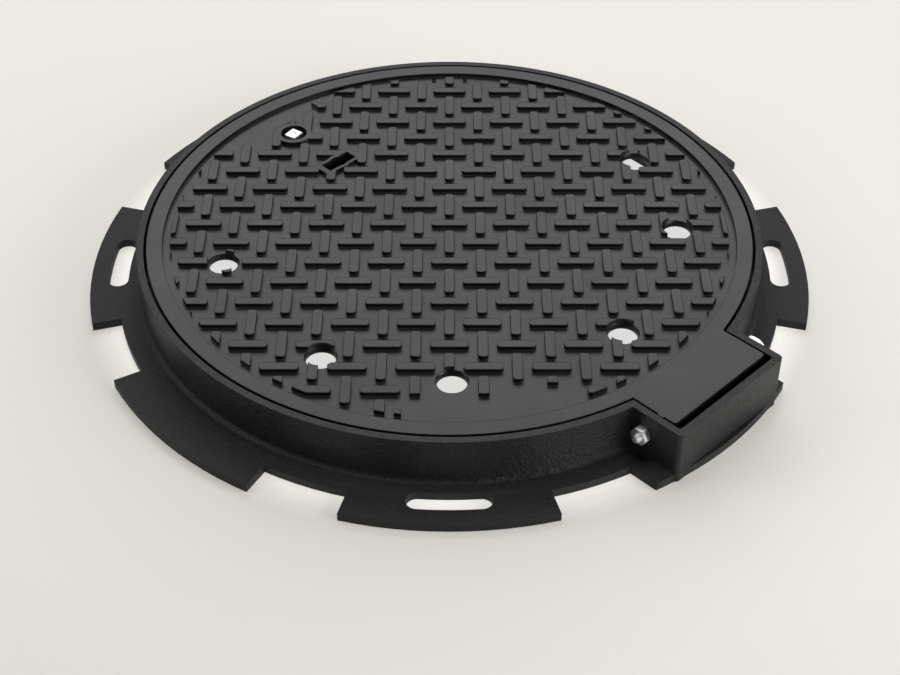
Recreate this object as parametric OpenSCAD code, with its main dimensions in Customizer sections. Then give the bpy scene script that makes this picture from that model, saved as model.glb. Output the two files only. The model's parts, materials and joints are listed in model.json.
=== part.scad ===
// Hinged, lockable, ventilated manhole cover in a round ductile iron frame.
// Millimetres. The origin is the centre of the circle at the bed of the frame, +Z up.
// The hinge points to hinge_angle. Everything round it is drawn in the hinge's own
// frame: x outward along the hinge, y along the hinge bolt.

/* [Whole] */
// Height from the bed of the frame to the top of the cover
total_h = 60; // [56:1:80]
// Direction of the hinge, counter-clockwise from +X
hinge_angle = 315; // [0:1:359]

/* [Frame] */
// Diameter of the clear opening
clear_d = 600; // [580:1:604]
// Thickness of the wall round the cover
rim_t = 7.5; // [5:0.5:12]
// Thickness of the inner skirt under the seat
skirt_t = 7; // [5:0.5:9]
// Thickness of the seat shelf
seat_t = 8; // [5:0.5:9]
// Thickness of the base flange
flange_t = 9; // [7:0.5:14]
// Diameter of the flange between its tabs
flange_d = 708; // [690:1:730]
// Diameter over the anchor tabs
tab_d = 768; // [760:1:800]
// Width of one anchor tab, as an angle
tab_angle = 31; // [24:1:36]
// Radius of the fillet at the foot of the walls
foot_r = 5; // [2:0.5:8]
// Webs between the skirt and the wall, all the way round
web_count = 24; // [12:1:32]
// Thickness of one web
web_t = 6; // [4:0.5:10]

/* [Anchor slots] */
// Radius that the slots lie on
slot_ring_r = 355; // [352:0.5:362]
// Length of one slot
anchor_slot_l = 81; // [50:1:100]
// Width of one slot
anchor_slot_w = 21; // [14:1:24]

/* [Hinge box] */
// Width of the pocket, along the bolt
pocket_w = 141.4; // [130:0.2:160]
// Distance from the centre to the pocket's front wall
pocket_x = 371; // [370.6:0.1:374]
// Distance from the centre to the pocket's back wall
pocket_back_x = 312; // [309:0.5:316]
// Thickness of the pocket's walls
box_t = 7.5; // [5:0.5:9]
// Thickness of the pocket's floor
pocket_floor_t = 6; // [4:0.5:8]
// How far the front wall stands back below its rim, for the swing of the hinge tab
pocket_relief = 2.2; // [1.8:0.1:3]
// Depth of that rim
pocket_rim = 10; // [4:0.5:12]
// Width of the tab that carries the box
box_tab_w = 197; // [180:1:220]

/* [Hinge] */
// Distance from the centre to the hinge bolt
pin_x = 335.5; // [335:0.1:336]
// Depth of the hinge bolt below the top
pin_depth = 23.8; // [22:0.1:24]
// Diameter of the hinge bolt's shank
pin_d = 16; // [14:1:18]
// Radial clearance of the bolt in the walls and the lugs
pin_clear = 0.05; // [0.01:0.01:0.1]
// Width across the flats of the bolt's head
head_af = 24; // [20:1:26]
// Thickness of the bolt's head with its collar
head_t = 16.5; // [10:0.5:18]
// Diameter of the round collar under the head
head_collar_d = 28; // [24:1:29]
// Thickness of that collar
head_collar_t = 3; // [2:0.5:5]
// Diameter of the bolt's thread
thread_d = 10; // [8:1:12]
// Width across the flats of its nut
hinge_nut_af = 17; // [16:1:20]
// Thickness of that nut
hinge_nut_t = 8; // [6:0.5:11]
// Length of the thread beyond the nut
bolt_end = 5; // [2:0.5:12]

/* [Cover] */
// Diameter of the cover
cover_d = 639; // [637:0.5:640]
// Gap between the cover and the frame's wall
cover_gap = 2.8; // [2:0.1:4]
// Thickness of the cover's plate
plate_t = 7; // [5:0.5:10]
// Height of the cover's edge
edge_h = 25; // [23:0.5:27]
// Height of the upright land at the top of the edge
edge_land = 2.5; // [1.5:0.25:3]
// How far the edge draws in below the land, to swing clear of the frame
edge_taper = 8.5; // [8.5:0.25:9]
// Width of the raised band round the top
band_w = 16.5; // [10:0.5:20]
// Width of the hinge tab
tab_w = 137; // [120:1:139]
// Distance from the centre to the end of the hinge tab
tab_end_x = 363; // [360:0.1:363.2]
// Thickness of the hinge tab
tab_t = 10; // [8:0.5:12]
// Outer radius of the lugs round the bolt
lug_r = 13; // [11.5:0.5:14]
// Thickness of one lug
lug_t = 18; // [12:1:24]
// Distance from the middle of the hinge to the middle of a lug
lug_y = 52; // [40:1:54]

/* [Ribs] */
// Thickness of the ribs under the plate
rib_t = 8; // [6:0.5:12]
// Depth of the ribs under the plate, in the middle
rib_h = 26; // [16:1:30]
// Radius of the ring rib
ring_rib_r = 110; // [90:5:125]
// Radius of the hub where the ribs meet
hub_r = 34; // [26:1:44]

/* [Tread] */
// Distance from bar to bar, both ways
tread_pitch = 32.75; // [31:0.25:40]
// Length of one bar
bar_l = 38; // [24:0.5:39]
// Width of one bar
bar_w = 10; // [6:0.5:14]
// Radius of a bar's corners
bar_r = 3; // [1:0.5:5]
// Height of the bars
tread_h = 4.5; // [3:0.25:6]
// Radius that the tread ends at
tread_r = 295; // [280:1:298]
// Offset of the pattern towards +Y
tread_shift = 4.5; // [0:0.5:16]

/* [Vents] */
// Diameter of the vent holes
vent_d = 30; // [20:1:36]
// Radius that the vents lie on
vent_ring_r = 242; // [236:1:250]
// Chamfer round each vent
vent_chamfer = 1.5; // [0.5:0.25:3]

/* [Lifting slot] */
// Distance from the centre to the lifting slot
lift_r = 171.5; // [160:0.5:185]
// Length of the lifting slot
lift_l = 38; // [30:1:44]
// Width of the lifting slot
lift_w = 14.6; // [10:0.2:18]
// Offset of the slot along the hinge bolt's direction
lift_y = -3.6; // [-12:0.2:12]
// Diameter of the round bulge in its middle
lift_bulge_d = 17.4; // [16:0.2:28]
// Width of the raised border at the slot's ends
lift_border = 6.5; // [4:0.5:10]
// Width of that border along its sides
lift_side_border = 4.2; // [3:0.2:10]
// Depth of the pocket below it
lift_depth = 26; // [18:1:30]
// Wall of that pocket
lift_wall = 5; // [4:0.5:8]

/* [Lock] */
// Distance from the edge of the clear opening to the lock
lock_inset = 50; // [48:1:54]
// Offset of the lock along the hinge bolt's direction
lock_y = -1.8; // [-6:0.2:6]
// Diameter of the key well
well_d = 29; // [27:0.5:34]
// Diameter of the raised ring round the well
well_boss_d = 41; // [38:1:48]
// Depth of the key well
well_depth = 26; // [22:1:28]
// Thickness of the floor under the well
well_floor_t = 8; // [6:0.5:8]
// Width of the square head
head_w = 14.8; // [12:0.2:16]
// How far the top of the head lies below the top of the cover
head_drop = 0.5; // [0:0.5:4]
// Turn of the square head against the hinge's frame
head_turn = 11; // [0:1:45]
// Diameter of the spindle
spindle_d = 16; // [14:0.5:18]
// Radial clearance of the spindle in its bore
spindle_clear = 0.05; // [0.01:0.01:0.1]
// Diameter of the collar under the head
collar_d = 26; // [24:0.5:26.5]
// Thickness of the collar
collar_t = 4; // [3:0.5:5]
// Thickness of the sealing washer under the collar
seal_t = 2; // [1:0.5:3]
// Length of the cam from the spindle to its tip
cam_l = 61; // [57:0.5:63]
// Width of the cam
cam_w = 24; // [22:1:28]
// Thickness of the cam
cam_t = 8; // [6:0.5:9]
// Gap between the cam and the underside of the seat
cam_gap = 1; // [0.5:0.25:1.5]
// Width of the square that drives the cam
drive_w = 11; // [9:0.5:11]
// Diameter of the thread under the cam
stud_d = 10; // [8:1:10]
// Thickness of the washer under the cam
cam_washer_t = 2; // [1:0.5:2]
// Width across the flats of the nut under the cam
cam_nut_af = 17; // [16:1:19]

/* [Gasket] */
// Width of the seat gasket
gasket_w = 8; // [6:0.5:8.5]
// Thickness of the seat gasket
gasket_t = 3; // [2:0.5:5]
// How far the gasket stands out of its groove
gasket_proud = 1.5; // [1:0.25:1.75]
// Clearance on each side of the gasket in its groove
gasket_clear = 0.2; // [0.1:0.05:0.4]

/* [Hidden] */
$fn = 96;

iron = "#4b4c4e";
zinc = "#c9ccce";
rubber = "#1d1d1e";

// Overshoot of a cut beyond the face that it opens
over = 1;
// Small depth by which a raised feature is rooted in the body that carries it
root = 0.5;

cover_r = cover_d / 2;
recess_r = cover_r + cover_gap;
rim_r = recess_r + rim_t;
clear_r = clear_d / 2;
skirt_r = clear_r + skirt_t;

// Levels, from the top down
field_z = total_h - tread_h;
plate_z = field_z - plate_t;
edge_z = total_h - edge_h;
seat_z = edge_z - gasket_proud;
shelf_z = seat_z - seat_t;
pin_z = total_h - pin_depth;

// Base flange
flange_r = flange_d / 2;
tab_r = tab_d / 2;
tab_step = 45;
slotted_tabs = [0, 90, 180, 270];
slot_half_angle = (anchor_slot_l - anchor_slot_w) / 2 / slot_ring_r * 180 / PI;

// Hinge box
box_x = pocket_x + box_t;
box_half_w = pocket_w / 2 + box_t;
box_corner_r = 5;
// The box's walls spring from the middle of the frame's wall
box_start_x = sqrt(pow(recess_r + rim_t / 2, 2) - pow(box_half_w, 2));
pocket_corner_r = 3;
// The thread starts at the shank's shoulder, on the inner face of the front side wall
shoulder_y = -pocket_w / 2;

// Cover's underside
edge_in_r = clear_r + 2;
edge_low_r = cover_r - edge_taper;
band_r = cover_r - band_w;
edge_slope = 0.7;
taper_z = total_h - edge_land - edge_taper / edge_slope;
rib_z = plate_z - rib_h;
rib_end_r = clear_r - 10;
rib_end_z = edge_z + 1;
rib_run = 0.7;
hub_overlap = 0.2;
ring_rib_lift = 4;
hub_drop = 1.5;
rib_angles = [22, 60, 98, 140, -22, -60, -98, -140];
vent_angles = [0, 44.4, -44.4, 76, -76, -120.5];
nib_x = 346.3;
nib_w = 6;
nib_h = 8;
nib_gap = 0.4;

// Lock, on the side of the cover that lies opposite the hinge
lock_r = clear_r - lock_inset;
well_z = total_h - well_depth;
boss_z = well_z - well_floor_t;
boss_r = well_d / 2 + 8;
cam_top_z = shelf_z - cam_gap;
cam_z = cam_top_z - cam_t;
cam_tip_r = 6;
nut_ratio = 0.8;
cam_nut_t = nut_ratio * stud_d;
stud_end = 2;
washer_rim = 3;
drive_clear = 0.1;
window_clear = 4;

// Room at the foot of the skirt for the turning cam
window_y0 = lock_y - cam_w / 2 - window_clear;
window_y1 = lock_y + cam_l * cos(asin(lock_inset / cam_l)) + cam_w / 2 + window_clear;
window_z = cam_z - window_clear;

// Gasket
gasket_r = (edge_in_r + edge_low_r) / 2;
groove_z = seat_z + gasket_proud - gasket_t;

// Ground that carries no tread, as [x, y, width, depth] in the part's frame
bare_patches = [[-45, -310, 176, 46.5], [42, -263.5, 89, 15.5], [-22, -263.5, 44, 13.5],
                [-250, 162, 41, 13]];
// The same beside the lock, in the hinge's frame
lock_patch = [-305, -66, 34, 120];

module in_hinge_frame() {
    rotate(hinge_angle) children();
}

module ring(r_in, r_out, z0, z1) {
    rotate_extrude($fn = 180)
        translate([r_in, z0])
            square([r_out - r_in, z1 - z0]);
}

// Upright block whose plan has round corners
module rounded_block(x0, x1, half_w, r, z0, z1) {
    translate([0, 0, z0])
        linear_extrude(z1 - z0) {
            translate([x0, -half_w + r])
                square([x1 - x0, 2 * (half_w - r)]);
            translate([x0, -half_w])
                square([x1 - x0 - r, 2 * half_w]);
            for (side = [-1, 1])
                translate([x1 - r, side * (half_w - r)])
                    circle(r, $fn = 48);
        }
}

// Cylinder along y, centred on the hinge bolt
module along_pin(r, y0, y1, sides = 64) {
    translate([pin_x, y1, pin_z])
        rotate([90, 0, 0])
            cylinder(r = r, h = y1 - y0, $fn = sides);
}

module hexagon(af, h) {
    cylinder(r = af / 2 / cos(30), h = h, $fn = 6);
}

// Section of the frame before it is hollowed, with the fillet at the foot of its wall
module frame_section() {
    square([rim_r, total_h]);
    difference() {
        translate([rim_r - root, flange_t - root]) square(foot_r + root);
        translate([rim_r + foot_r, flange_t + foot_r]) circle(foot_r, $fn = 48);
    }
}

// Section of the shaft, the recess for the cover and the gasket's groove in the seat
module recess_section() {
    translate([0, -over]) square([clear_r, total_h]);
    translate([0, seat_z]) square([recess_r, total_h]);
    translate([gasket_r - gasket_w / 2 - gasket_clear, groove_z])
        square([gasket_w + 2 * gasket_clear, seat_t]);
}

// One anchor tab's plan, radial sides
module tab_plan(angle) {
    reach = tab_r * 1.2;
    intersection() {
        circle(tab_r, $fn = 180);
        rotate(angle)
            polygon([[0, 0],
                     [reach * cos(tab_angle / 2), -reach * sin(tab_angle / 2)],
                     [reach * cos(tab_angle / 2), reach * sin(tab_angle / 2)]]);
    }
}

module flange_plan() {
    difference() {
        union() {
            circle(flange_r, $fn = 180);
            for (k = [1:7])
                tab_plan(k * tab_step);
            intersection() {
                circle(tab_r, $fn = 180);
                translate([0, -box_tab_w / 2]) square([tab_r, box_tab_w]);
            }
        }
        circle(clear_r, $fn = 180);
    }
}

module anchor_slot() {
    rotate(-slot_half_angle)
        rotate_extrude(angle = 2 * slot_half_angle, $fn = 180)
            translate([slot_ring_r - anchor_slot_w / 2, -over])
                square([anchor_slot_w, flange_t + 2 * over]);
    for (side = [-1, 1])
        rotate(side * slot_half_angle)
            translate([slot_ring_r, 0, -over])
                cylinder(d = anchor_slot_w, h = flange_t + 2 * over, $fn = 48);
}

// Straight fillet along x at the foot of the hinge box's side walls
module box_foot(side) {
    length = box_x - rim_r * cos(asin(box_half_w / rim_r)) - box_corner_r;
    mirror([0, side < 0 ? 1 : 0, 0])
        translate([box_x - box_corner_r - length, box_half_w, flange_t])
            difference() {
                translate([0, -root, -root]) cube([length, foot_r + root, foot_r + root]);
                translate([-over, foot_r, foot_r])
                    rotate([0, 90, 0])
                        cylinder(r = foot_r, h = length + 2 * over, $fn = 48);
            }
}

// Hollow between the skirt and the wall, open below, with its webs left standing
module skirt_hollow() {
    difference() {
        ring(skirt_r, recess_r, -over, shelf_z);
        for (k = [0:web_count - 1])
            rotate((k + 0.5) * 360 / web_count)
                translate([skirt_r - over, -web_t / 2, -2 * over])
                    cube([recess_r - skirt_r + 2 * over, web_t, total_h]);
        translate([0, -box_half_w, -2 * over])
            cube([2 * rim_r, 2 * box_half_w, total_h]);
    }
}

// Window through the foot of the skirt, where the lock's cam turns under the seat
module lock_window() {
    sag = clear_r - sqrt(clear_r * clear_r - window_y1 * window_y1);
    translate([-skirt_r - over, window_y0, window_z])
        cube([skirt_t + sag + 2 * over, window_y1 - window_y0, shelf_z - window_z]);
}

module frame() {
    color(iron)
        difference() {
            union() {
                rotate_extrude($fn = 180) frame_section();
                in_hinge_frame() {
                    linear_extrude(flange_t) flange_plan();
                    rounded_block(box_start_x, box_x, box_half_w, box_corner_r, 0, total_h);
                    box_foot(-1);
                    box_foot(1);
                }
            }
            rotate_extrude($fn = 180) recess_section();
            in_hinge_frame() {
                rounded_block(pocket_back_x, pocket_x, pocket_w / 2, pocket_corner_r,
                              pocket_floor_t, total_h + over);
                rounded_block(pin_x, pocket_x + pocket_relief, pocket_w / 2, pocket_corner_r,
                              pocket_floor_t, total_h - pocket_rim);
                along_pin(pin_d / 2 + pin_clear, 0, box_half_w + over);
                along_pin(thread_d / 2 + pin_clear, -box_half_w - over, 0);
                skirt_hollow();
                lock_window();
            }
            for (angle = slotted_tabs)
                rotate(angle) anchor_slot();
        }
}

module seat_gasket() {
    color(rubber)
        ring(gasket_r - gasket_w / 2, gasket_r + gasket_w / 2, groove_z, groove_z + gasket_t);
}

module hinge_bolt() {
    color(zinc)
        in_hinge_frame() {
            along_pin(pin_d / 2, shoulder_y, box_half_w + root);
            along_pin(thread_d / 2, -box_half_w - hinge_nut_t - bolt_end, shoulder_y + root);
            along_pin(head_collar_d / 2, box_half_w, box_half_w + head_collar_t);
            translate([pin_x, box_half_w + head_collar_t - root, pin_z])
                rotate([-90, 0, 0])
                    hexagon(head_af, head_t - head_collar_t + root);
        }
}

module hinge_nut() {
    color(zinc)
        in_hinge_frame()
            difference() {
                translate([pin_x, -box_half_w, pin_z])
                    rotate([90, 0, 0])
                        hexagon(hinge_nut_af, hinge_nut_t);
                along_pin(thread_d / 2, -box_half_w - hinge_nut_t - over, -box_half_w + over);
            }
}

// Section of the cover's plate, band and edge
module cover_section() {
    polygon([[0, plate_z], [edge_in_r, plate_z], [edge_in_r, edge_z], [edge_low_r, edge_z],
             [edge_low_r, taper_z], [cover_r, total_h - edge_land], [cover_r, total_h],
             [band_r, total_h], [band_r, field_z], [0, field_z]]);
}

// Round-cornered outline of one tread bar, lying along x
function bar_outline(l, w, r, steps) = [
    for (corner = [0:3])
        for (step = [0:steps])
            let (angle = 90 * (corner + step / steps),
                 cx = (corner == 0 || corner == 3 ? 1 : -1) * (l / 2 - r),
                 cy = (corner < 2 ? 1 : -1) * (w / 2 - r))
            [cx + r * cos(angle), cy + r * sin(angle)]
];

module tread_bars() {
    reach = ceil(tread_r / tread_pitch) + 1;
    for (i = [-reach:reach])
        for (j = [-reach:reach]) {
            x = i * tread_pitch;
            y = j * tread_pitch + tread_shift;
            if (norm([x, y]) < tread_r + bar_l / 2)
                translate([x, y])
                    rotate(abs(i + j) % 2 == 0 ? 0 : 90)
                        polygon(bar_outline(bar_l, bar_w, bar_r, 2));
        }
}

module tread_ground() {
    difference() {
        circle(tread_r, $fn = 180);
        for (p = bare_patches)
            translate([p[0], p[1]]) square([p[2], p[3]]);
        rotate(hinge_angle) {
            translate([lock_patch[0], lock_patch[1]]) square([lock_patch[2], lock_patch[3]]);
            translate([-lock_r, lock_y]) circle(d = well_boss_d - 1);
            translate([-lift_r, lift_y]) lift_plan(lift_side_border - root, lift_border - root);
        }
    }
}

// Plan of the lifting slot, grown at its sides and its ends
module lift_plan(side, end) {
    square([lift_w + 2 * side, lift_l + 2 * end], center = true);
    circle(d = lift_bulge_d + 2 * side, $fn = 64);
}

// Web that carries one lug down from the hinge tab
module lug(side) {
    y0 = side * lug_y - lug_t / 2;
    along_pin(lug_r, y0, y0 + lug_t);
    translate([pin_x - lug_r, y0, pin_z]) cube([2 * lug_r, lug_t, total_h - pin_z - root]);
    translate([edge_in_r, y0, edge_z + 1])
        cube([pin_x - edge_in_r, lug_t, total_h - edge_z - 1 - root]);
}

module hinge_tab() {
    tab_root_x = sqrt(pow(band_r, 2) - pow(tab_w / 2, 2)) - over;
    intersection() {
        rounded_block(tab_root_x, tab_end_x, tab_w / 2, pocket_corner_r,
                      total_h - tab_t, total_h);
        difference() {
            translate([0, -tab_w, 0]) cube([2 * cover_r, 2 * tab_w, 2 * total_h]);
            cylinder(r = band_r + root, h = total_h + over, $fn = 180);
        }
    }
    lug(-1);
    lug(1);
    translate([nib_x - nib_w / 2, -pocket_w / 2 + nib_gap, total_h - nib_h])
        cube([nib_w, pocket_w / 2 - tab_w / 2 - nib_gap + root, nib_h]);
}

module radial_rib(angle) {
    start = (1 - hub_overlap) * hub_r;
    rotate(angle)
        translate([0, rib_t / 2, 0])
            rotate([90, 0, 0])
                linear_extrude(rib_t)
                    polygon([[start, plate_z + root], [start, rib_z], [rib_run * rib_end_r, rib_z],
                             [rib_end_r, rib_end_z], [edge_in_r + root, rib_end_z],
                             [edge_in_r + root, plate_z + root]]);
}

module cover_ribs() {
    for (angle = rib_angles)
        radial_rib(angle);
    ring(ring_rib_r - rib_t / 2, ring_rib_r + rib_t / 2, rib_z + ring_rib_lift, plate_z + root);
    translate([0, 0, rib_z - hub_drop]) cylinder(r = hub_r, h = rib_h + hub_drop + root);
}

module vents() {
    for (angle = vent_angles)
        rotate(angle)
            translate([vent_ring_r, 0, 0]) {
                translate([0, 0, plate_z - over])
                    cylinder(d = vent_d, h = total_h - plate_z + 2 * over);
                translate([0, 0, field_z - vent_chamfer])
                    cylinder(d1 = vent_d, d2 = vent_d + 2 * vent_chamfer, h = vent_chamfer);
                translate([0, 0, field_z])
                    cylinder(d = vent_d + 2 * vent_chamfer, h = tread_h + over);
            }
}

module cover() {
    color(iron)
        difference() {
            union() {
                rotate_extrude($fn = 180) cover_section();
                translate([0, 0, field_z - root])
                    linear_extrude(tread_h + root)
                        intersection() {
                            tread_bars();
                            tread_ground();
                        }
                in_hinge_frame() {
                    hinge_tab();
                    cover_ribs();
                    translate([-lock_r, lock_y, boss_z])
                        cylinder(r = boss_r, h = plate_z - boss_z + root);
                    translate([-lock_r, lock_y, plate_z + root])
                        cylinder(d = well_boss_d, h = total_h - plate_z - root);
                    translate([-lift_r, lift_y, field_z - root])
                        linear_extrude(tread_h + root)
                            lift_plan(lift_side_border, lift_border);
                    translate([-lift_r, lift_y, total_h - lift_depth - lift_wall])
                        linear_extrude(lift_depth + lift_wall - total_h + field_z)
                            lift_plan(lift_wall, lift_wall);
                }
            }
            in_hinge_frame() {
                vents();
                translate([-lock_r, lock_y, well_z])
                    cylinder(d = well_d, h = well_depth + over);
                translate([-lock_r, lock_y, boss_z - over])
                    cylinder(r = spindle_d / 2 + spindle_clear, h = well_floor_t + 2 * over);
                translate([-lift_r, lift_y, total_h - lift_depth])
                    linear_extrude(lift_depth + over) lift_plan(0, 0);
                along_pin(pin_d / 2 + pin_clear, -box_half_w, box_half_w);
            }
        }
}

module at_lock(z) {
    in_hinge_frame()
        translate([-lock_r, lock_y, z])
            children();
}

module lock_seal() {
    color(rubber)
        at_lock(well_z)
            difference() {
                cylinder(d = collar_d, h = seal_t);
                translate([0, 0, -over])
                    cylinder(r = spindle_d / 2 + spindle_clear, h = seal_t + 2 * over);
            }
}

module lock_spindle() {
    collar_z = well_z + seal_t;
    stud_z = cam_z - cam_washer_t - cam_nut_t - stud_end;
    color(zinc) {
        at_lock(collar_z) {
            cylinder(d = collar_d, h = collar_t);
            rotate(head_turn)
                translate([-head_w / 2, -head_w / 2, 0])
                    cube([head_w, head_w, total_h - head_drop - collar_z]);
        }
        at_lock(cam_top_z)
            cylinder(d = spindle_d, h = collar_z - cam_top_z + root);
        at_lock(cam_z)
            translate([-drive_w / 2, -drive_w / 2, 0])
                cube([drive_w, drive_w, cam_t + root]);
        at_lock(stud_z)
            cylinder(d = stud_d, h = cam_z - stud_z + root);
    }
}

// The cam lies along the hinge bolt's direction while the cover is free to open
module lock_cam() {
    tip_y = cam_l - cam_tip_r;
    hole_w = drive_w + 2 * drive_clear;
    color(zinc)
        at_lock(cam_z)
            difference() {
                union() {
                    cylinder(d = cam_w, h = cam_t);
                    translate([-cam_w / 2, 0, 0]) cube([cam_w, tip_y, cam_t]);
                    translate([-cam_w / 2 + cam_tip_r, 0, 0])
                        cube([cam_w - 2 * cam_tip_r, cam_l, cam_t]);
                    for (side = [-1, 1])
                        translate([side * (cam_w / 2 - cam_tip_r), tip_y, 0])
                            cylinder(r = cam_tip_r, h = cam_t);
                }
                translate([-hole_w / 2, -hole_w / 2, -over])
                    cube([hole_w, hole_w, cam_t + 2 * over]);
            }
}

module lock_washer() {
    color(zinc)
        at_lock(cam_z - cam_washer_t)
            difference() {
                cylinder(d = cam_nut_af + washer_rim, h = cam_washer_t);
                translate([0, 0, -over])
                    cylinder(r = stud_d / 2 + drive_clear, h = cam_washer_t + 2 * over);
            }
}

module lock_nut() {
    color(zinc)
        at_lock(cam_z - cam_washer_t - cam_nut_t)
            difference() {
                hexagon(cam_nut_af, cam_nut_t);
                translate([0, 0, -over])
                    cylinder(d = stud_d, h = cam_nut_t + 2 * over);
            }
}

frame();
seat_gasket();
hinge_bolt();
hinge_nut();
cover();
lock_seal();
lock_spindle();
lock_cam();
lock_washer();
lock_nut();
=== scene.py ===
import json
import math
import bmesh
import bpy
from mathutils import Matrix, Vector


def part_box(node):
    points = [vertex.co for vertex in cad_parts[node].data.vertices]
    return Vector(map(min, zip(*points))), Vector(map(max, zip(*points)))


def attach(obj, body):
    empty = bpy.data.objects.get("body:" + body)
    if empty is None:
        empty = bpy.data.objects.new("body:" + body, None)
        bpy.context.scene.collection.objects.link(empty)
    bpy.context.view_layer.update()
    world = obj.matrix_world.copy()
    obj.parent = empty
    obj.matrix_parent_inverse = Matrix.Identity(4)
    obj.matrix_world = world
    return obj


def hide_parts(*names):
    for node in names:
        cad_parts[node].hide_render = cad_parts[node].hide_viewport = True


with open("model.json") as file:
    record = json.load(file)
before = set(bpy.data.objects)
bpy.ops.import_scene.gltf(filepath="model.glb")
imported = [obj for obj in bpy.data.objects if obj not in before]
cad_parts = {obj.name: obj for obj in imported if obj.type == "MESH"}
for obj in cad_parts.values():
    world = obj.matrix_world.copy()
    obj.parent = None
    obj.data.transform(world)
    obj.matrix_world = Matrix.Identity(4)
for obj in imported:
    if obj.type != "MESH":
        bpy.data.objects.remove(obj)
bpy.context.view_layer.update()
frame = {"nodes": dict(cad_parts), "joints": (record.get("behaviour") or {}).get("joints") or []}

# Frame
# One ductile iron casting, poured in a sand mould: round wall, seat, flange and
# hinge box. It is dipped in black paint, which pools over the grain of the sand.

PAINT_THIN = (0.0075, 0.0075, 0.0077)
PAINT_THICK = (0.0045, 0.0045, 0.0047)
PAINT_SPECK = (0.14, 0.14, 0.142)
SPECK_SHARE = 0.2
ROUGHNESS_THIN = 0.42
ROUGHNESS_THICK = 0.34
PAINT_SHINE = 0.36
SANDY_LOW = 0.012
SANDY_HIGH = 0.03
SANDY_ROUGHNESS = 0.2
EDGE_SAMPLES = 8
FRAME_EDGE = 0.0011
FRAME_GRAIN_SCALE = 330.0
FRAME_GRAIN_DEPTH = 0.0022


def new_group(name, inputs, outputs):
    group = bpy.data.node_groups.new(name, "ShaderNodeTree")
    for socket, default in inputs.items():
        item = group.interface.new_socket(socket, in_out="INPUT", socket_type="NodeSocketFloat")
        item.default_value = default
    for socket in outputs:
        group.interface.new_socket(socket, in_out="OUTPUT", socket_type="NodeSocketFloat")
    return group, group.nodes.new("NodeGroupInput"), group.nodes.new("NodeGroupOutput")


def add_noise(tree, coordinates, scale, detail, roughness=0.5):
    noise = tree.nodes.new("ShaderNodeTexNoise")
    noise.inputs["Detail"].default_value = detail
    noise.inputs["Roughness"].default_value = roughness
    tree.links.new(coordinates, noise.inputs["Vector"])
    if isinstance(scale, (int, float)):
        noise.inputs["Scale"].default_value = scale
    else:
        tree.links.new(scale, noise.inputs["Scale"])
    return noise.outputs["Fac"]


def add_range(tree, value, low, high, to_low, to_high):
    node = tree.nodes.new("ShaderNodeMapRange")
    tree.links.new(value, node.inputs["Value"])
    for socket, number in zip(("From Min", "From Max", "To Min", "To Max"),
                              (low, high, to_low, to_high)):
        node.inputs[socket].default_value = number
    return node.outputs["Result"]


def add_math(tree, operation, first, second):
    node = tree.nodes.new("ShaderNodeMath")
    node.operation = operation
    for socket, value in zip(node.inputs, (first, second)):
        if isinstance(value, (int, float)):
            socket.default_value = value
        else:
            tree.links.new(value, socket)
    return node.outputs["Value"]


def add_colour_mix(tree, share, first, second):
    node = tree.nodes.new("ShaderNodeMix")
    node.data_type = "RGBA"
    tree.links.new(share, node.inputs[0])
    for socket, colour in ((node.inputs[6], first), (node.inputs[7], second)):
        if isinstance(colour, tuple):
            socket.default_value = (*colour, 1.0)
        else:
            tree.links.new(colour, socket)
    return node.outputs[2]


def add_bump(tree, height, strength, distance):
    node = tree.nodes.new("ShaderNodeBump")
    node.inputs["Strength"].default_value = strength
    node.inputs["Distance"].default_value = distance
    tree.links.new(height, node.inputs["Height"])
    return node.outputs["Normal"]


def new_material(name):
    material = bpy.data.materials.new(name)
    material.use_nodes = True
    return material, material.node_tree, material.node_tree.nodes["Principled BSDF"]


def sand_cast_group():
    """Height of the sand's grain, and masks of the paint's pools and of its specks."""
    group, given, result = new_group("sand_cast", {"Grain Scale": 520.0, "Grain Height": 0.6},
                                     ("Height", "Pooling", "Speckle"))
    place = group.nodes.new("ShaderNodeTexCoord").outputs["Object"]
    grain = add_noise(group, place, given.outputs["Grain Scale"], 4.0, 0.65)
    swell = add_noise(group, place, 95.0, 3.0, 0.55)
    pool = add_noise(group, place, 14.0, 5.0, 0.6)
    speck = add_noise(group, place, 640.0, 2.0, 0.5)
    fine = add_math(group, "MULTIPLY", grain, given.outputs["Grain Height"])
    group.links.new(add_math(group, "ADD", fine, add_math(group, "MULTIPLY", swell, 0.35)),
                    result.inputs["Height"])
    group.links.new(add_range(group, pool, 0.32, 0.68, 0.0, 1.0), result.inputs["Pooling"])
    group.links.new(add_range(group, speck, 0.6, 0.76, 0.0, 1.0), result.inputs["Speckle"])
    return group


sand_cast = sand_cast_group()


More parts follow.
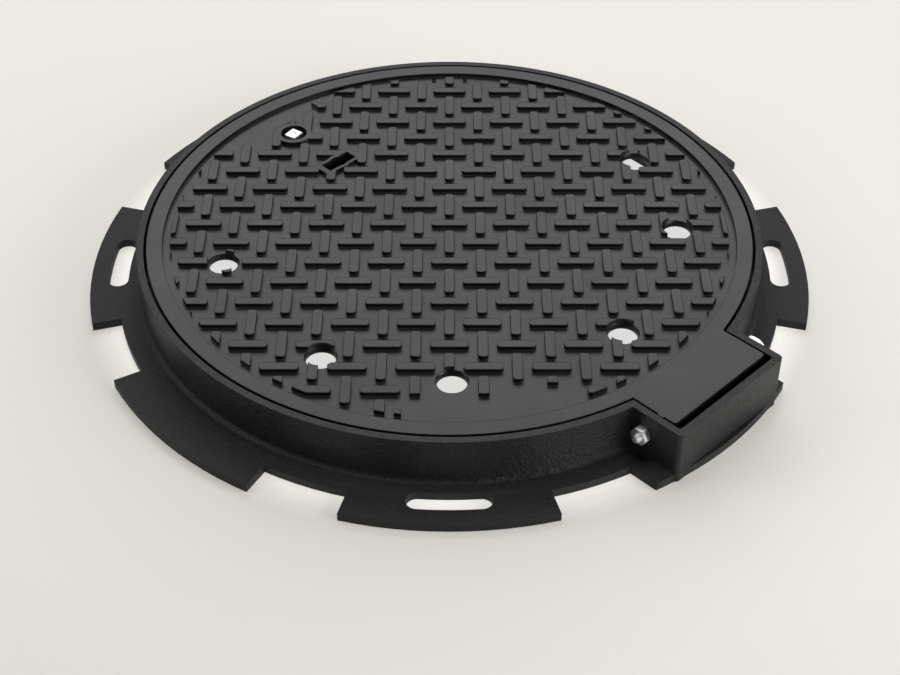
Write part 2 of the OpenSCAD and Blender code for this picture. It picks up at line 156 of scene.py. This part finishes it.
def painted_iron(name, speck, grain_scale, strength, depth, edge):
    """Black dipped iron: sand grain, pools and specks of paint, and edges a mould rounds."""
    material, tree, shader = new_material(name)
    grain = tree.nodes.new("ShaderNodeGroup")
    grain.node_tree = sand_cast
    grain.inputs["Grain Scale"].default_value = grain_scale
    base = add_colour_mix(tree, grain.outputs["Pooling"], PAINT_THIN, PAINT_THICK)
    share = add_math(tree, "MULTIPLY", grain.outputs["Speckle"], SPECK_SHARE)
    tree.links.new(add_colour_mix(tree, share, base, speck), shader.inputs["Base Color"])
    gloss = add_range(tree, grain.outputs["Pooling"], 0.0, 1.0, ROUGHNESS_THIN, ROUGHNESS_THICK)
    # The flange lies lowest in the mould and keeps a rougher, sandier skin
    place = tree.nodes.new("ShaderNodeSeparateXYZ")
    tree.links.new(tree.nodes.new("ShaderNodeTexCoord").outputs["Object"], place.inputs[0])
    sandy = add_range(tree, place.outputs["Z"], SANDY_LOW, SANDY_HIGH, SANDY_ROUGHNESS, 0.0)
    tree.links.new(add_math(tree, "ADD", gloss, sandy), shader.inputs["Roughness"])
    rounding = tree.nodes.new("ShaderNodeBevel")
    rounding.samples = EDGE_SAMPLES
    rounding.inputs["Radius"].default_value = edge
    relief = add_bump(tree, grain.outputs["Height"], strength, depth)
    tree.links.new(rounding.outputs["Normal"], relief.node.inputs["Normal"])
    tree.links.new(relief, shader.inputs["Normal"])
    shader.inputs["Specular IOR Level"].default_value = PAINT_SHINE
    return material


frame_paint = painted_iron("frame_paint", PAINT_SPECK, FRAME_GRAIN_SCALE, 1.0, FRAME_GRAIN_DEPTH,
                           FRAME_EDGE)


def give_finish(node, material):
    """Gives a piece of the solid model its finish, and welds its loose triangles."""
    piece = frame["nodes"][node]
    piece.data.materials.clear()
    piece.data.materials.append(material)
    weld = piece.modifiers.new("weld", "WELD")
    weld.merge_threshold = 1e-6


give_finish("frame", frame_paint)

# Seat gasket
# A ring of black rubber that is pressed into the groove of the frame's seat. It
# keeps the cover from rattling.


def soft_rubber():
    material, tree, shader = new_material("gasket_rubber")
    place = tree.nodes.new("ShaderNodeTexCoord").outputs["Object"]
    bloom = add_noise(tree, place, 60.0, 4.0)
    tree.links.new(add_colour_mix(tree, add_range(tree, bloom, 0.35, 0.7, 0.0, 1.0),
                                  (0.012, 0.012, 0.013), (0.024, 0.024, 0.025)),
                   shader.inputs["Base Color"])
    tree.links.new(add_bump(tree, add_noise(tree, place, 1400.0, 2.0), 0.3, 0.0001),
                   shader.inputs["Normal"])
    shader.inputs["Roughness"].default_value = 0.75
    return material


gasket_rubber = soft_rubber()
for rubber_ring in ("seat_gasket", "lock_seal"):
    give_finish(rubber_ring, gasket_rubber)

# Cover
# The second casting, in the same iron and paint: plate, tread, vents, lock well and
# hinge tab. Its moulding sand is finer than the frame's, so the tread is crisp.

COVER_EDGE = 0.0013
COVER_GRAIN_SCALE = 700.0
COVER_GRAIN_STRENGTH = 0.5
COVER_GRAIN_DEPTH = 0.0006

cover_paint = painted_iron("cover_paint", PAINT_THIN, COVER_GRAIN_SCALE, COVER_GRAIN_STRENGTH,
                           COVER_GRAIN_DEPTH, COVER_EDGE)
give_finish("cover", cover_paint)

# Hinge bolt
# A shouldered steel bolt, turned and threaded, in bright zinc. It goes in from the back
# of the hinge box and through both lugs of the cover.

HEAD_FLATS = 0.024
HEAD_CHAMFER = 0.0016
COLLAR_DIAMETER = 0.028
COLLAR_THICKNESS = 0.003
SHANK_DIAMETER = 0.016
THREAD_DIAMETER = 0.010
THREAD_PITCH = 0.0015
THREAD_DEPTH = 0.00092
THREAD_PLAY = 0.00006
THREAD_INSIDE = 0.0075
TURNED_CHAMFER = 0.0006
BOLT_EDGE = 0.00012
NUT_EDGE = 0.00018
BURY = 0.0005

hinge = next(joint for joint in frame["joints"] if joint["name"] == "cover_hinge")
hinge_middle = Vector(hinge["pos_m"])
hinge_along = Vector(hinge["axis"]).normalized()
hinge_out = hinge_along.cross(Vector((0.0, 0.0, 1.0)))


def reach_along(node, middle, axis):
    """How far a piece reaches from a point along an axis, each way."""
    reach = [(vertex.co - middle).dot(axis) for vertex in frame["nodes"][node].data.vertices]
    return min(reach), max(reach)


def zinc_plate():
    material, tree, shader = new_material("bright_zinc")
    place = tree.nodes.new("ShaderNodeTexCoord").outputs["Object"]
    bloom = add_noise(tree, place, 160.0, 5.0, 0.6)
    tree.links.new(add_colour_mix(tree, add_range(tree, bloom, 0.35, 0.65, 0.0, 1.0),
                                  (0.80, 0.81, 0.82), (0.90, 0.905, 0.90)),
                   shader.inputs["Base Color"])
    tree.links.new(add_range(tree, bloom, 0.3, 0.7, 0.34, 0.48), shader.inputs["Roughness"])
    tree.links.new(add_bump(tree, add_noise(tree, place, 1800.0, 3.0), 0.25, 0.00008),
                   shader.inputs["Normal"])
    shader.inputs["Metallic"].default_value = 1.0
    return material


bright_zinc = zinc_plate()


def add_bar(radius, low, high, sides=48):
    """Round or many-sided bar that stands on Z, from one height to another."""
    bpy.ops.object.select_all(action="DESELECT")
    bpy.ops.mesh.primitive_cylinder_add(vertices=sides, radius=radius, depth=high - low,
                                        location=(0.0, 0.0, (low + high) / 2))
    bpy.ops.object.transform_apply(location=True, rotation=True, scale=True)
    return bpy.context.object


def chamfer_ends(piece, width, heights):
    """Bevels the edges that run round the piece at these heights."""
    bpy.ops.object.mode_set(mode="EDIT")
    shape = bmesh.from_edit_mesh(piece.data)
    for face in shape.faces:
        face.select_set(False)
    for edge in shape.edges:
        edge.select_set(any(all(abs(corner.co.z - height) < 1e-6 for corner in edge.verts)
                            for height in heights))
    bmesh.update_edit_mesh(piece.data)
    bpy.ops.mesh.bevel(offset=width, segments=1, affect="EDGES")
    bpy.ops.object.mode_set(mode="OBJECT")


def combine(piece, other, operation):
    """Adds, cuts or keeps what two solids share, and leaves one solid."""
    step = piece.modifiers.new("combine", "BOOLEAN")
    step.operation = operation
    step.solver = "EXACT"
    step.object = other
    bpy.ops.object.select_all(action="DESELECT")
    bpy.context.view_layer.objects.active = piece
    piece.select_set(True)
    bpy.ops.object.modifier_apply(modifier=step.name)
    bpy.data.objects.remove(other)
    return piece


def hex_blank(flats, low, high, chamfer, heights):
    """Hexagon whose corners are turned off at the given ends."""
    corner = flats / 2 / math.cos(math.radians(30))
    blank = add_bar(corner, low, high)
    chamfer_ends(blank, chamfer, heights)
    return combine(add_bar(corner, low, high, 6), blank, "INTERSECT")


def add_thread(diameter, depth, pitch, low, high):
    """Helical ridge of a screw thread, round a core of its own."""
    core = add_bar(diameter / 2 - depth, low, high)
    bpy.ops.object.select_all(action="DESELECT")
    bpy.ops.mesh.primitive_plane_add(size=1.0)
    ridge = bpy.context.object
    turns = int((high - low) / pitch) - 1
    inner = diameter / 2 - depth - THREAD_PLAY
    corners = ((inner, 0.04), (diameter / 2, 0.42), (diameter / 2, 0.58), (inner, 0.96))
    for corner, (radius, share) in zip(ridge.data.polygons[0].vertices, corners):
        ridge.data.vertices[corner].co = (radius, 0.0, low + share * pitch)
    bpy.ops.object.mode_set(mode="EDIT")
    bpy.ops.mesh.select_all(action="SELECT")
    bpy.ops.mesh.delete(type="ONLY_FACE")
    bpy.ops.object.mode_set(mode="OBJECT")
    screw = ridge.modifiers.new("screw", "SCREW")
    screw.axis = "Z"
    screw.screw_offset = pitch
    screw.iterations = turns
    screw.steps = 24
    screw.render_steps = 24
    bpy.ops.object.modifier_apply(modifier=screw.name)
    bpy.ops.object.mode_set(mode="EDIT")
    bpy.ops.mesh.select_all(action="SELECT")
    bpy.ops.mesh.fill_holes(sides=0)
    bpy.ops.mesh.select_all(action="SELECT")
    bpy.ops.mesh.normals_make_consistent(inside=False)
    bpy.ops.object.mode_set(mode="OBJECT")
    return combine(core, ridge, "UNION")


def finish_fastener(piece, name, place, material, body, edge):
    """Breaks the sharp edges, sets the piece where it belongs and hands it to its body."""
    piece.name = name
    bevel = piece.modifiers.new("edges", "BEVEL")
    bevel.width = edge
    bevel.segments = 2
    bevel.limit_method = "ANGLE"
    bevel.angle_limit = math.radians(35)
    bpy.ops.object.select_all(action="DESELECT")
    bpy.context.view_layer.objects.active = piece
    piece.select_set(True)
    bpy.ops.object.modifier_apply(modifier=bevel.name)
    bpy.ops.object.shade_smooth_by_angle(angle=math.radians(32))
    piece.matrix_world = place
    bpy.ops.object.transform_apply(location=True, rotation=True, scale=True)
    piece.data.materials.clear()
    piece.data.materials.append(material)
    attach(piece, body)


# Placed with Z along the hinge, Y outwards and X up
across_hinge = Matrix((hinge_along.cross(-hinge_out), hinge_out, hinge_along)).transposed()
hinge_place = Matrix.Translation(hinge_middle) @ across_hinge.to_4x4()

bolt_tip, bolt_top = reach_along("hinge_bolt", hinge_middle, hinge_along)
nut_outer, wall_face = reach_along("hinge_nut", hinge_middle, hinge_along)
head_foot = -wall_face + COLLAR_THICKNESS - BURY
shank_foot = wall_face + THREAD_INSIDE

bolt = hex_blank(HEAD_FLATS, head_foot, bolt_top, HEAD_CHAMFER, (bolt_top,))
collar = add_bar(COLLAR_DIAMETER / 2, -wall_face, -wall_face + COLLAR_THICKNESS)
chamfer_ends(collar, TURNED_CHAMFER, (-wall_face + COLLAR_THICKNESS,))
bolt = combine(bolt, collar, "UNION")
bolt = combine(bolt, add_bar(SHANK_DIAMETER / 2, shank_foot, -wall_face + BURY), "UNION")
thread = add_thread(THREAD_DIAMETER, THREAD_DEPTH, THREAD_PITCH, bolt_tip, shank_foot + BURY)
bolt = combine(bolt, thread, "UNION")
finish_fastener(bolt, "hinge_bolt_turned", hinge_place, bright_zinc, "base", BOLT_EDGE)
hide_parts("hinge_bolt")

# Hinge nut
# A zinc plated steel hexagon nut, screwed against the front wall of the hinge box.

NUT_FLATS = 0.017
NUT_CHAMFER = 0.0011
NUT_COUNTERSINK = 0.0008


def hex_nut(flats, bore, low, high):
    """Hexagon nut with turned corners and a countersunk bore."""
    nut = hex_blank(flats, low, high, NUT_CHAMFER, (low, high))
    nut = combine(nut, add_bar(bore / 2, low - BURY, high + BURY), "DIFFERENCE")
    for face, inward in ((low, 1), (high, -1)):
        bpy.ops.object.select_all(action="DESELECT")
        wide = bore / 2 + NUT_COUNTERSINK
        narrow = bore / 2 - NUT_COUNTERSINK
        bpy.ops.mesh.primitive_cone_add(
            vertices=48, depth=2 * NUT_COUNTERSINK, location=(0.0, 0.0, face),
            radius1=wide + NUT_COUNTERSINK if inward > 0 else narrow,
            radius2=narrow if inward > 0 else wide + NUT_COUNTERSINK)
        bpy.ops.object.transform_apply(location=True, rotation=True, scale=True)
        nut = combine(nut, bpy.context.object, "DIFFERENCE")
    return nut


nut = hex_nut(NUT_FLATS, THREAD_DIAMETER, nut_outer, wall_face)
finish_fastener(nut, "hinge_nut_turned", hinge_place, bright_zinc, "base", NUT_EDGE)
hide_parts("hinge_nut")

# Lock spindle
# A steel spindle with a square head for the key, zinc plated. Its collar bears on the
# seal, a square drives the cam and its stud takes the nut.

KEY_SQUARE = 0.0148
CAM_TURN = math.radians(-45)
KEY_TURN = math.radians(-45 + 11)
KEY_EDGE = 0.0009
DIMPLE_DIAMETER = 0.0058
DIMPLE_DEPTH = 0.0016
SPINDLE_COLLAR = 0.026
SPINDLE_COLLAR_THICKNESS = 0.004
SPINDLE_DIAMETER = 0.016
CAM_SQUARE = 0.011
STUD_DIAMETER = 0.010

lock = next(joint for joint in frame["joints"] if joint["name"] == "lock_turn")
lock_place = Matrix.Translation((lock["pos_m"][0], lock["pos_m"][1], 0.0))


def square_bar(width, low, high, turn):
    """Square bar that stands on Z, turned about it."""
    bpy.ops.object.select_all(action="DESELECT")
    bpy.ops.mesh.primitive_cube_add(size=1.0, location=(0.0, 0.0, (low + high) / 2),
                                    rotation=(0.0, 0.0, turn), scale=(width, width, high - low))
    bpy.ops.object.transform_apply(location=True, rotation=True, scale=True)
    return bpy.context.object


stud_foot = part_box("lock_spindle")[0].z
head_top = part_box("lock_spindle")[1].z
collar_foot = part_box("lock_seal")[1].z
collar_top = collar_foot + SPINDLE_COLLAR_THICKNESS
cam_low, cam_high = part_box("lock_cam")[0].z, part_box("lock_cam")[1].z

spindle = square_bar(KEY_SQUARE, collar_top - BURY, head_top, KEY_TURN)
chamfer_ends(spindle, KEY_EDGE, (head_top,))
bpy.ops.object.select_all(action="DESELECT")
bpy.ops.mesh.primitive_uv_sphere_add(segments=32, ring_count=16, radius=1.0,
                                     location=(0.0, 0.0, head_top),
                                     scale=(DIMPLE_DIAMETER / 2, DIMPLE_DIAMETER / 2, DIMPLE_DEPTH))
bpy.ops.object.transform_apply(location=True, rotation=True, scale=True)
spindle = combine(spindle, bpy.context.object, "DIFFERENCE")
spindle_collar = add_bar(SPINDLE_COLLAR / 2, collar_foot, collar_top)
chamfer_ends(spindle_collar, TURNED_CHAMFER, (collar_top,))
spindle = combine(spindle, spindle_collar, "UNION")
spindle = combine(spindle, add_bar(SPINDLE_DIAMETER / 2, cam_high, collar_foot + BURY), "UNION")
spindle = combine(spindle, square_bar(CAM_SQUARE, cam_low, cam_high + BURY, CAM_TURN), "UNION")
spindle = combine(spindle, add_thread(STUD_DIAMETER, THREAD_DEPTH, THREAD_PITCH,
                                      stud_foot, cam_low + BURY), "UNION")
finish_fastener(spindle, "lock_spindle_turned", lock_place, bright_zinc, "lock", BOLT_EDGE)
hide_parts("lock_spindle")

# Cam, washer and nut of the lock
# The cam is cut from steel plate and slides on the spindle's square. A washer and a
# nut on the stud hold it. All three are zinc plated.

for plated in ("lock_cam", "lock_washer"):
    give_finish(plated, bright_zinc)

lock_nut_low, lock_nut_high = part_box("lock_nut")[0].z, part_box("lock_nut")[1].z
lock_nut = hex_nut(NUT_FLATS, STUD_DIAMETER, lock_nut_low, lock_nut_high)
finish_fastener(lock_nut, "lock_nut_turned", lock_place, bright_zinc, "lock", NUT_EDGE)
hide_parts("lock_nut")

# Camera
# It looks down on the front of the cover, as the photograph does.

eye = bpy.data.cameras.new("eye")
camera = bpy.data.objects.new("eye", eye)
bpy.context.scene.collection.objects.link(camera)
eye.sensor_width = 36.0
eye.lens = 65.44
camera.location = (0.0006, -1.3944, 1.1055)
camera.rotation_euler = (math.radians(49.2), 0.0, 0.0)
bpy.context.scene.camera = camera

# Floor and light
# A pale studio floor with painted light under the cover and a painted shadow in
# front of it, under a wide soft light behind the cover and a smaller one at each side.

FLOOR_GLOW_FAR = 0.345
FLOOR_GLOW_NEAR = 0.22
# Glow of the painted light on the floor under the cover, where its shadow falls
FLOOR_GLOW_UNDER = 0.72
# Depth of the painted shadow on the floor in front of the part
FLOOR_PAINTED_SHADOW = 0.07
FLOOR_WARM = (1.0, 0.955, 0.87)
FLOOR_NEUTRAL = (1.0, 0.99, 0.975)

bpy.ops.object.select_all(action="DESELECT")
bpy.ops.mesh.primitive_plane_add(size=30.0, location=(0.0, 0.0, -0.0002))
floor = bpy.context.object
floor.name = "floor"


def pale_floor():
    """Pale to the eye and in reflections, and darker where it would light the part; painted light
    under the cover, painted shadow in front.
    """
    material, tree, shader = new_material("pale_floor")
    shader.inputs["Base Color"].default_value = (0.5, 0.49, 0.472, 1.0)
    shader.inputs["Roughness"].default_value = 0.9
    ray = tree.nodes.new("ShaderNodeLightPath")
    seen = add_math(tree, "MAXIMUM", ray.outputs["Is Camera Ray"], ray.outputs["Is Glossy Ray"])
    seen = add_math(tree, "MAXIMUM", seen, ray.outputs["Is Transmission Ray"])
    place = tree.nodes.new("ShaderNodeTexCoord").outputs["Object"]
    length = tree.nodes.new("ShaderNodeVectorMath")
    length.operation = "LENGTH"
    tree.links.new(place, length.inputs[0])
    # Painted light: the floor's glow is raised, in a more neutral tint, in a disc under the cover
    # where its shadow falls, so the vents show pale floor
    painted_light_under = add_range(tree, length.outputs["Value"], 0.33, 0.39, 1.0, 0.0)
    tree.links.new(add_colour_mix(tree, painted_light_under, FLOOR_WARM, FLOOR_NEUTRAL),
                   shader.inputs["Emission Color"])
    split = tree.nodes.new("ShaderNodeSeparateXYZ")
    tree.links.new(place, split.inputs[0])
    away = add_range(tree, split.outputs["Y"], -0.8, 1.6, FLOOR_GLOW_NEAR, FLOOR_GLOW_FAR)
    # Painted shadow: a soft darker band on the floor round the front of the part, taken off the
    # glow
    painted_shadow = add_range(tree, length.outputs["Value"], 0.37, 0.56, FLOOR_PAINTED_SHADOW, 0.0)
    shadow_front = add_range(tree, split.outputs["Y"], -0.25, 0.1, 1.0, 0.0)
    away = add_math(tree, "SUBTRACT", away, add_math(tree, "MULTIPLY", painted_shadow, shadow_front))
    # The painted light under the cover takes the place of the floor's glow there
    glow = tree.nodes.new("ShaderNodeMix")
    tree.links.new(painted_light_under, glow.inputs[0])
    tree.links.new(away, glow.inputs[2])
    glow.inputs[3].default_value = FLOOR_GLOW_UNDER
    tree.links.new(add_math(tree, "MULTIPLY", seen, glow.outputs[0]),
                   shader.inputs["Emission Strength"])
    return material


floor.data.materials.append(pale_floor())

world = bpy.data.worlds.new("studio")
bpy.context.scene.world = world
world.use_nodes = True
world.node_tree.nodes["Background"].inputs["Color"].default_value = (1.0, 0.995, 0.985, 1.0)
world.node_tree.nodes["Background"].inputs["Strength"].default_value = 0.1


def soft_lamp(name, width, height, power, place, aim):
    lamp = bpy.data.lights.new(name, "AREA")
    lamp.shape = "RECTANGLE"
    lamp.size = width
    lamp.size_y = height
    lamp.energy = power
    holder = bpy.data.objects.new(name, lamp)
    bpy.context.scene.collection.objects.link(holder)
    holder.location = place
    holder.rotation_euler = (Vector(aim) - Vector(place)).to_track_quat("-Z", "Y").to_euler()


soft_lamp("back_light", 3.4, 2.0, 60.0, (0.0, 2.3, 2.1), (0.0, 0.0, 0.0))
soft_lamp("top_light", 1.2, 1.2, 20.0, (0.0, -0.1, 2.5), (0.0, 0.0, 0.0))
soft_lamp("left_light", 0.9, 1.4, 16.0, (-2.0, -0.1, 0.9), (-0.3, 0.0, 0.0))
soft_lamp("right_light", 1.2, 1.4, 44.0, (1.9, -1.0, 0.7), (0.3, -0.2, 0.0))

bpy.context.scene.view_settings.view_transform = "Standard"
